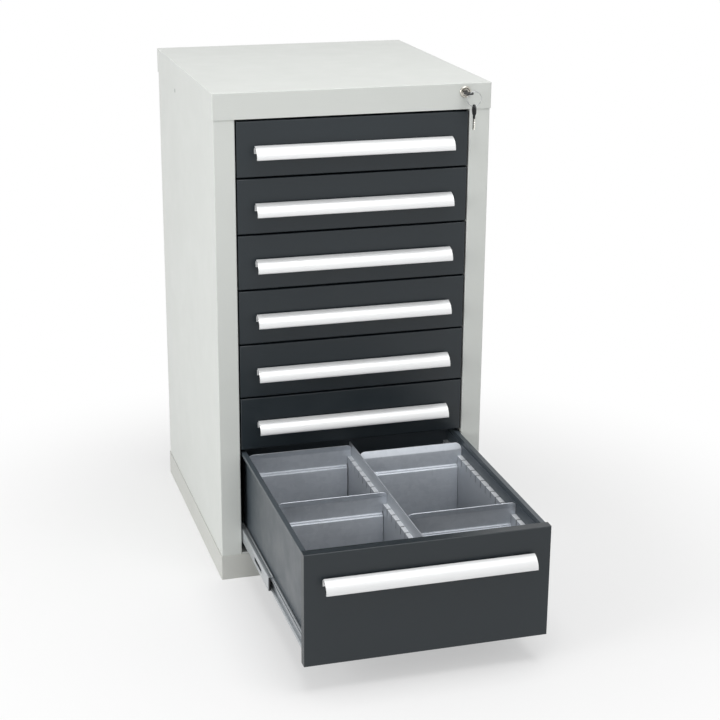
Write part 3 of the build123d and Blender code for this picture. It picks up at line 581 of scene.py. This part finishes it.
def cross_divider(name, side, place, lean):
    """One divider. Place is measured from the drawer's front wall, lean is 1 backwards and -1 forwards."""
    inner, outer = side * DIVIDER_INNER * MM, side * DIVIDER_OUTER * MM
    front = DIVIDER_FRONT + place - DIVIDER_SHEET / 2 - 2 * BEAD_STEP
    middle, back = BEAD_STEP, 2 * BEAD_STEP
    line = ((0, DIVIDER_FLOOR), (0, BEAD - BEAD_STEP), (middle, BEAD - BEAD_STEP), (middle, BEAD), (back, BEAD),
            (back, STRIP_FOLD), (back + STRIP_REACH * lean, DIVIDER_TOP))
    bm = bmesh.new()
    points = [bm.verts.new((inner, (front + y) * MM, z * MM)) for y, z in line]
    edges = [bm.edges.new(pair) for pair in zip(points, points[1:])]
    made = bmesh.ops.extrude_edge_only(bm, edges=edges)
    pull(bm, made, (outer - inner, 0, 0))
    corners = [vert for vert in bm.verts if vert.co.z > (DIVIDER_TOP - 1) * MM]
    bmesh.ops.bevel(bm, geom=corners, offset=CORNER_RADIUS * MM, segments=6, profile=0.5, affect="VERTICES",
                    material=-1)
    folds = [edge for edge in bm.edges if len(edge.link_faces) == 2 and edge.calc_face_angle() > math.radians(20)]
    bmesh.ops.bevel(bm, geom=folds, offset=FOLD_RADIUS * MM, segments=3, profile=0.5, affect="EDGES", material=-1)
    low_x, high_x = min(inner, outer) + TAB * MM, max(inner, outer) - TAB * MM
    across, up = (1, 0, 0), (0, 0, 1)
    for point, normal in (((low_x, 0, 0), across), ((high_x, 0, 0), across), ((0, 0, TAB_FOOT * MM), up)):
        geom = bm.verts[:] + bm.edges[:] + bm.faces[:]
        bmesh.ops.bisect_plane(bm, geom=geom, dist=0.001 * MM, plane_co=point, plane_no=normal)
    cut = [face for face in bm.faces if face.calc_center_median().z < TAB_FOOT * MM
           and not low_x < face.calc_center_median().x < high_x]
    bmesh.ops.delete(bm, geom=cut, context="FACES")
    bmesh.ops.recalc_face_normals(bm, faces=bm.faces)
    if sum(face.normal.y * face.calc_area() for face in bm.faces) > 0:
        bmesh.ops.reverse_faces(bm, faces=bm.faces[:])
    bmesh.ops.solidify(bm, geom=bm.faces[:], thickness=DIVIDER_SHEET * MM)
    piece = make_piece(name, bm, divider_zinc, "drawer_7")
    smooth(piece, 40)
    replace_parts(piece, "cross_dividers")
    return piece


cross_divider("divider_left_front", -1, 212.5, -1)
cross_divider("divider_left_back", -1, 437.5, -1)
cross_divider("divider_right_front", 1, 112.5, -1)
cross_divider("divider_right_back", 1, 387.5, 1)

# %% [markdown]
# ## Rivets and plugs
# The back panel is riveted through the side panels' flanges, and a small grey plug sits high on each side.
# Both are flat cones with a softened edge, and many are alike, so one function makes a row of them in one mesh
# from a list of places.

# %% A row of heads
def heads(name, places, normal, radius, height, finish, body):
    """Flat conical heads that stand on a surface at each place and point along a normal."""
    one = bmesh.new()
    bmesh.ops.create_cone(one, cap_ends=True, segments=20, radius1=radius * MM, radius2=0.7 * radius * MM,
                          depth=height * MM, matrix=Matrix.Translation((0, 0, 0.5 * height * MM)))
    rim = [edge for edge in one.edges if all(vert.co.z > 0.5 * height * MM for vert in edge.verts)]
    bmesh.ops.bevel(one, geom=rim, offset=0.15 * radius * MM, segments=2, profile=0.5, affect="EDGES", material=-1)
    pattern = bpy.data.meshes.new(name + "_pattern")
    one.to_mesh(pattern)
    one.free()
    bm = bmesh.new()
    turn = Vector((0, 0, 1)).rotation_difference(Vector(normal)).to_matrix().to_4x4()
    for place in places:
        count = len(bm.verts)
        bm.from_mesh(pattern)
        bmesh.ops.transform(bm, matrix=Matrix.Translation(place) @ turn, verts=bm.verts[:][count:])
    bpy.data.meshes.remove(pattern)
    piece = make_piece(name, bm, finish, body)
    smooth(piece, 40)
    return piece


rivet_heights = [0.10 + 0.125 * step for step in range(7)]
rivet_x, rivet_y = 0.2365, 0.531
rivet_places = [(side * rivet_x, rivet_y, z) for side in (-1, 1) for z in rivet_heights]
heads("back_rivets", rivet_places, (0, 1, 0), 3.0, 1.2, frame_zinc, "casing")
plug_x, plug_y, plug_z = 0.2485, 0.350, 0.846
for side, label in ((-1, "left"), (1, "right")):
    heads(f"side_plug_{label}", [(side * plug_x, plug_y, plug_z)], (side, 0, 0), 4.0, 0.9, grey_plastic,
          "casing")

# %% [markdown]
# ## The floor and the room
# The cabinet stands on a pale floor that loses itself in white. The floor is one disc: near the cabinet it is
# plain matt paint, which keeps the shadow, and farther out what the camera sees turns to plain white. Only rays
# to the camera, reflections and glass see that white. The light that bounces onto the cabinet still comes from
# the painted floor.

# %% White for what is seen, plain light for what is lit
def seen_rays(tree):
    """1 for camera, glossy and transmission rays, and 0 for the light that falls on things."""
    path = add(tree, "LightPath")
    seen = path.outputs["Is Camera Ray"]
    for kind in ("Is Glossy Ray", "Is Transmission Ray"):
        seen = add(tree, "Math", links={0: seen, 1: path.outputs[kind]}, operation="MAXIMUM").outputs[0]
    return seen


bm = bmesh.new()
floor_radius = 14.0
bmesh.ops.create_circle(bm, cap_ends=True, segments=96, radius=floor_radius)
mesh = bpy.data.meshes.new("floor")
bm.to_mesh(mesh)
bm.free()
floor = bpy.data.objects.new("floor", mesh)
bpy.context.scene.collection.objects.link(floor)

floor_paint = bpy.data.materials.new("matt_white_floor")
floor_paint.use_nodes = True
tree = floor_paint.node_tree
tree.nodes.clear()
place = add(tree, "TexCoord").outputs["Object"]
reach = add(tree, "VectorMath", links={0: place}, operation="LENGTH").outputs["Value"]
fade_start, fade_end, white_near = 0.45, 1.10, 0.45
fade = add(tree, "MapRange", {"From Min": fade_start, "From Max": fade_end, "To Min": white_near},
           {"Value": reach}, interpolation_type="SMOOTHSTEP")
white = add(tree, "Math", links={0: fade.outputs["Result"], 1: seen_rays(tree)}, operation="MULTIPLY")
paint = add(tree, "BsdfDiffuse", {"Color": shade("#F8F8F8")})
glow = add(tree, "Emission", {"Color": (1, 1, 1, 1), "Strength": 1.0})
mixed = add(tree, "MixShader", links={0: white.outputs[0], 1: paint.outputs["BSDF"], 2: glow.outputs["Emission"]})
add(tree, "OutputMaterial", links={"Surface": mixed.outputs["Shader"]})
floor.data.materials.append(floor_paint)

room = bpy.data.worlds.new("white_room")
room.use_nodes = True
tree = room.node_tree
tree.nodes.clear()
room_light, room_seen = 0.42, 1.0
level = add(tree, "MapRange", {"To Min": room_light, "To Max": room_seen}, {"Value": seen_rays(tree)})
sky = add(tree, "Background", {"Color": (1, 1, 1, 1)}, {"Strength": level.outputs["Result"]})
add(tree, "OutputWorld", links={"Surface": sky.outputs["Background"]})
bpy.context.scene.world = room
print("floor reaches:", floor_radius, "m")

# %% [markdown]
# ## Lamps
# Three large soft boxes do the modelling of the form. The main one stands far to the left, a little in front and
# half a metre higher than the cabinet, so the left side is a little brighter than the front. A weak one fills
# the right, and one above lights the top and the inside of the open drawer.

# %% Three soft boxes
def soft_box(name, place, target, size, watts):
    """A square area lamp that points at a target."""
    lamp = bpy.data.lights.new(name, "AREA")
    lamp.size = size
    lamp.energy = watts
    holder = bpy.data.objects.new(name, lamp)
    holder.location = place
    holder.rotation_euler = (Vector(target) - Vector(place)).to_track_quat("-Z", "Y").to_euler()
    bpy.context.scene.collection.objects.link(holder)
    return holder


soft_box("key_light", (-3.2, -1.1, 1.4), (0, 0.1, 0.5), 1.8, 51)
soft_box("fill_light", (1.6, -3.0, 1.6), (0, 0, 0.4), 2.4, 5)
soft_box("top_light", (0.1, -0.8, 2.9), (0, -0.1, 0.3), 1.8, 38)
print("lamps:", 3)

# %% [markdown]
# ## The camera
# The camera's place was found by matching the casing's corners in the picture to their places in the model. It
# looks down on the cabinet a little from the left, through a long lens. It has no shift, so upright edges lean
# in slightly, where the picture keeps them parallel. Its view is given as three directions, right, up and back.

# %% Set the camera
focal_length, sensor, farthest = 83.415, 36.0, 60.0
camera_data = bpy.data.cameras.new("camera")
camera_data.lens = focal_length
camera_data.sensor_width = sensor
camera_data.clip_end = farthest
camera = bpy.data.objects.new("camera", camera_data)
bpy.context.scene.collection.objects.link(camera)
turn, pitch, roll = 0.2859, 0.3284, 0.0072
level_right = Vector((math.cos(turn), -math.sin(turn), 0))
look = Vector((math.sin(turn) * math.cos(pitch), math.cos(turn) * math.cos(pitch), -math.sin(pitch)))
level_up = level_right.cross(look)
right = level_right * math.cos(roll) + level_up * math.sin(roll)
up = level_up * math.cos(roll) - level_right * math.sin(roll)
aim = Matrix((right, up, -look)).transposed().to_4x4()
camera_place = (-0.7938, -2.7509, 1.3802)
camera.matrix_world = Matrix.Translation(camera_place) @ aim
bpy.context.scene.camera = camera
bpy.context.scene.view_settings.view_transform = "Standard"
print("camera at:", [round(v, 3) for v in camera.matrix_world.translation])
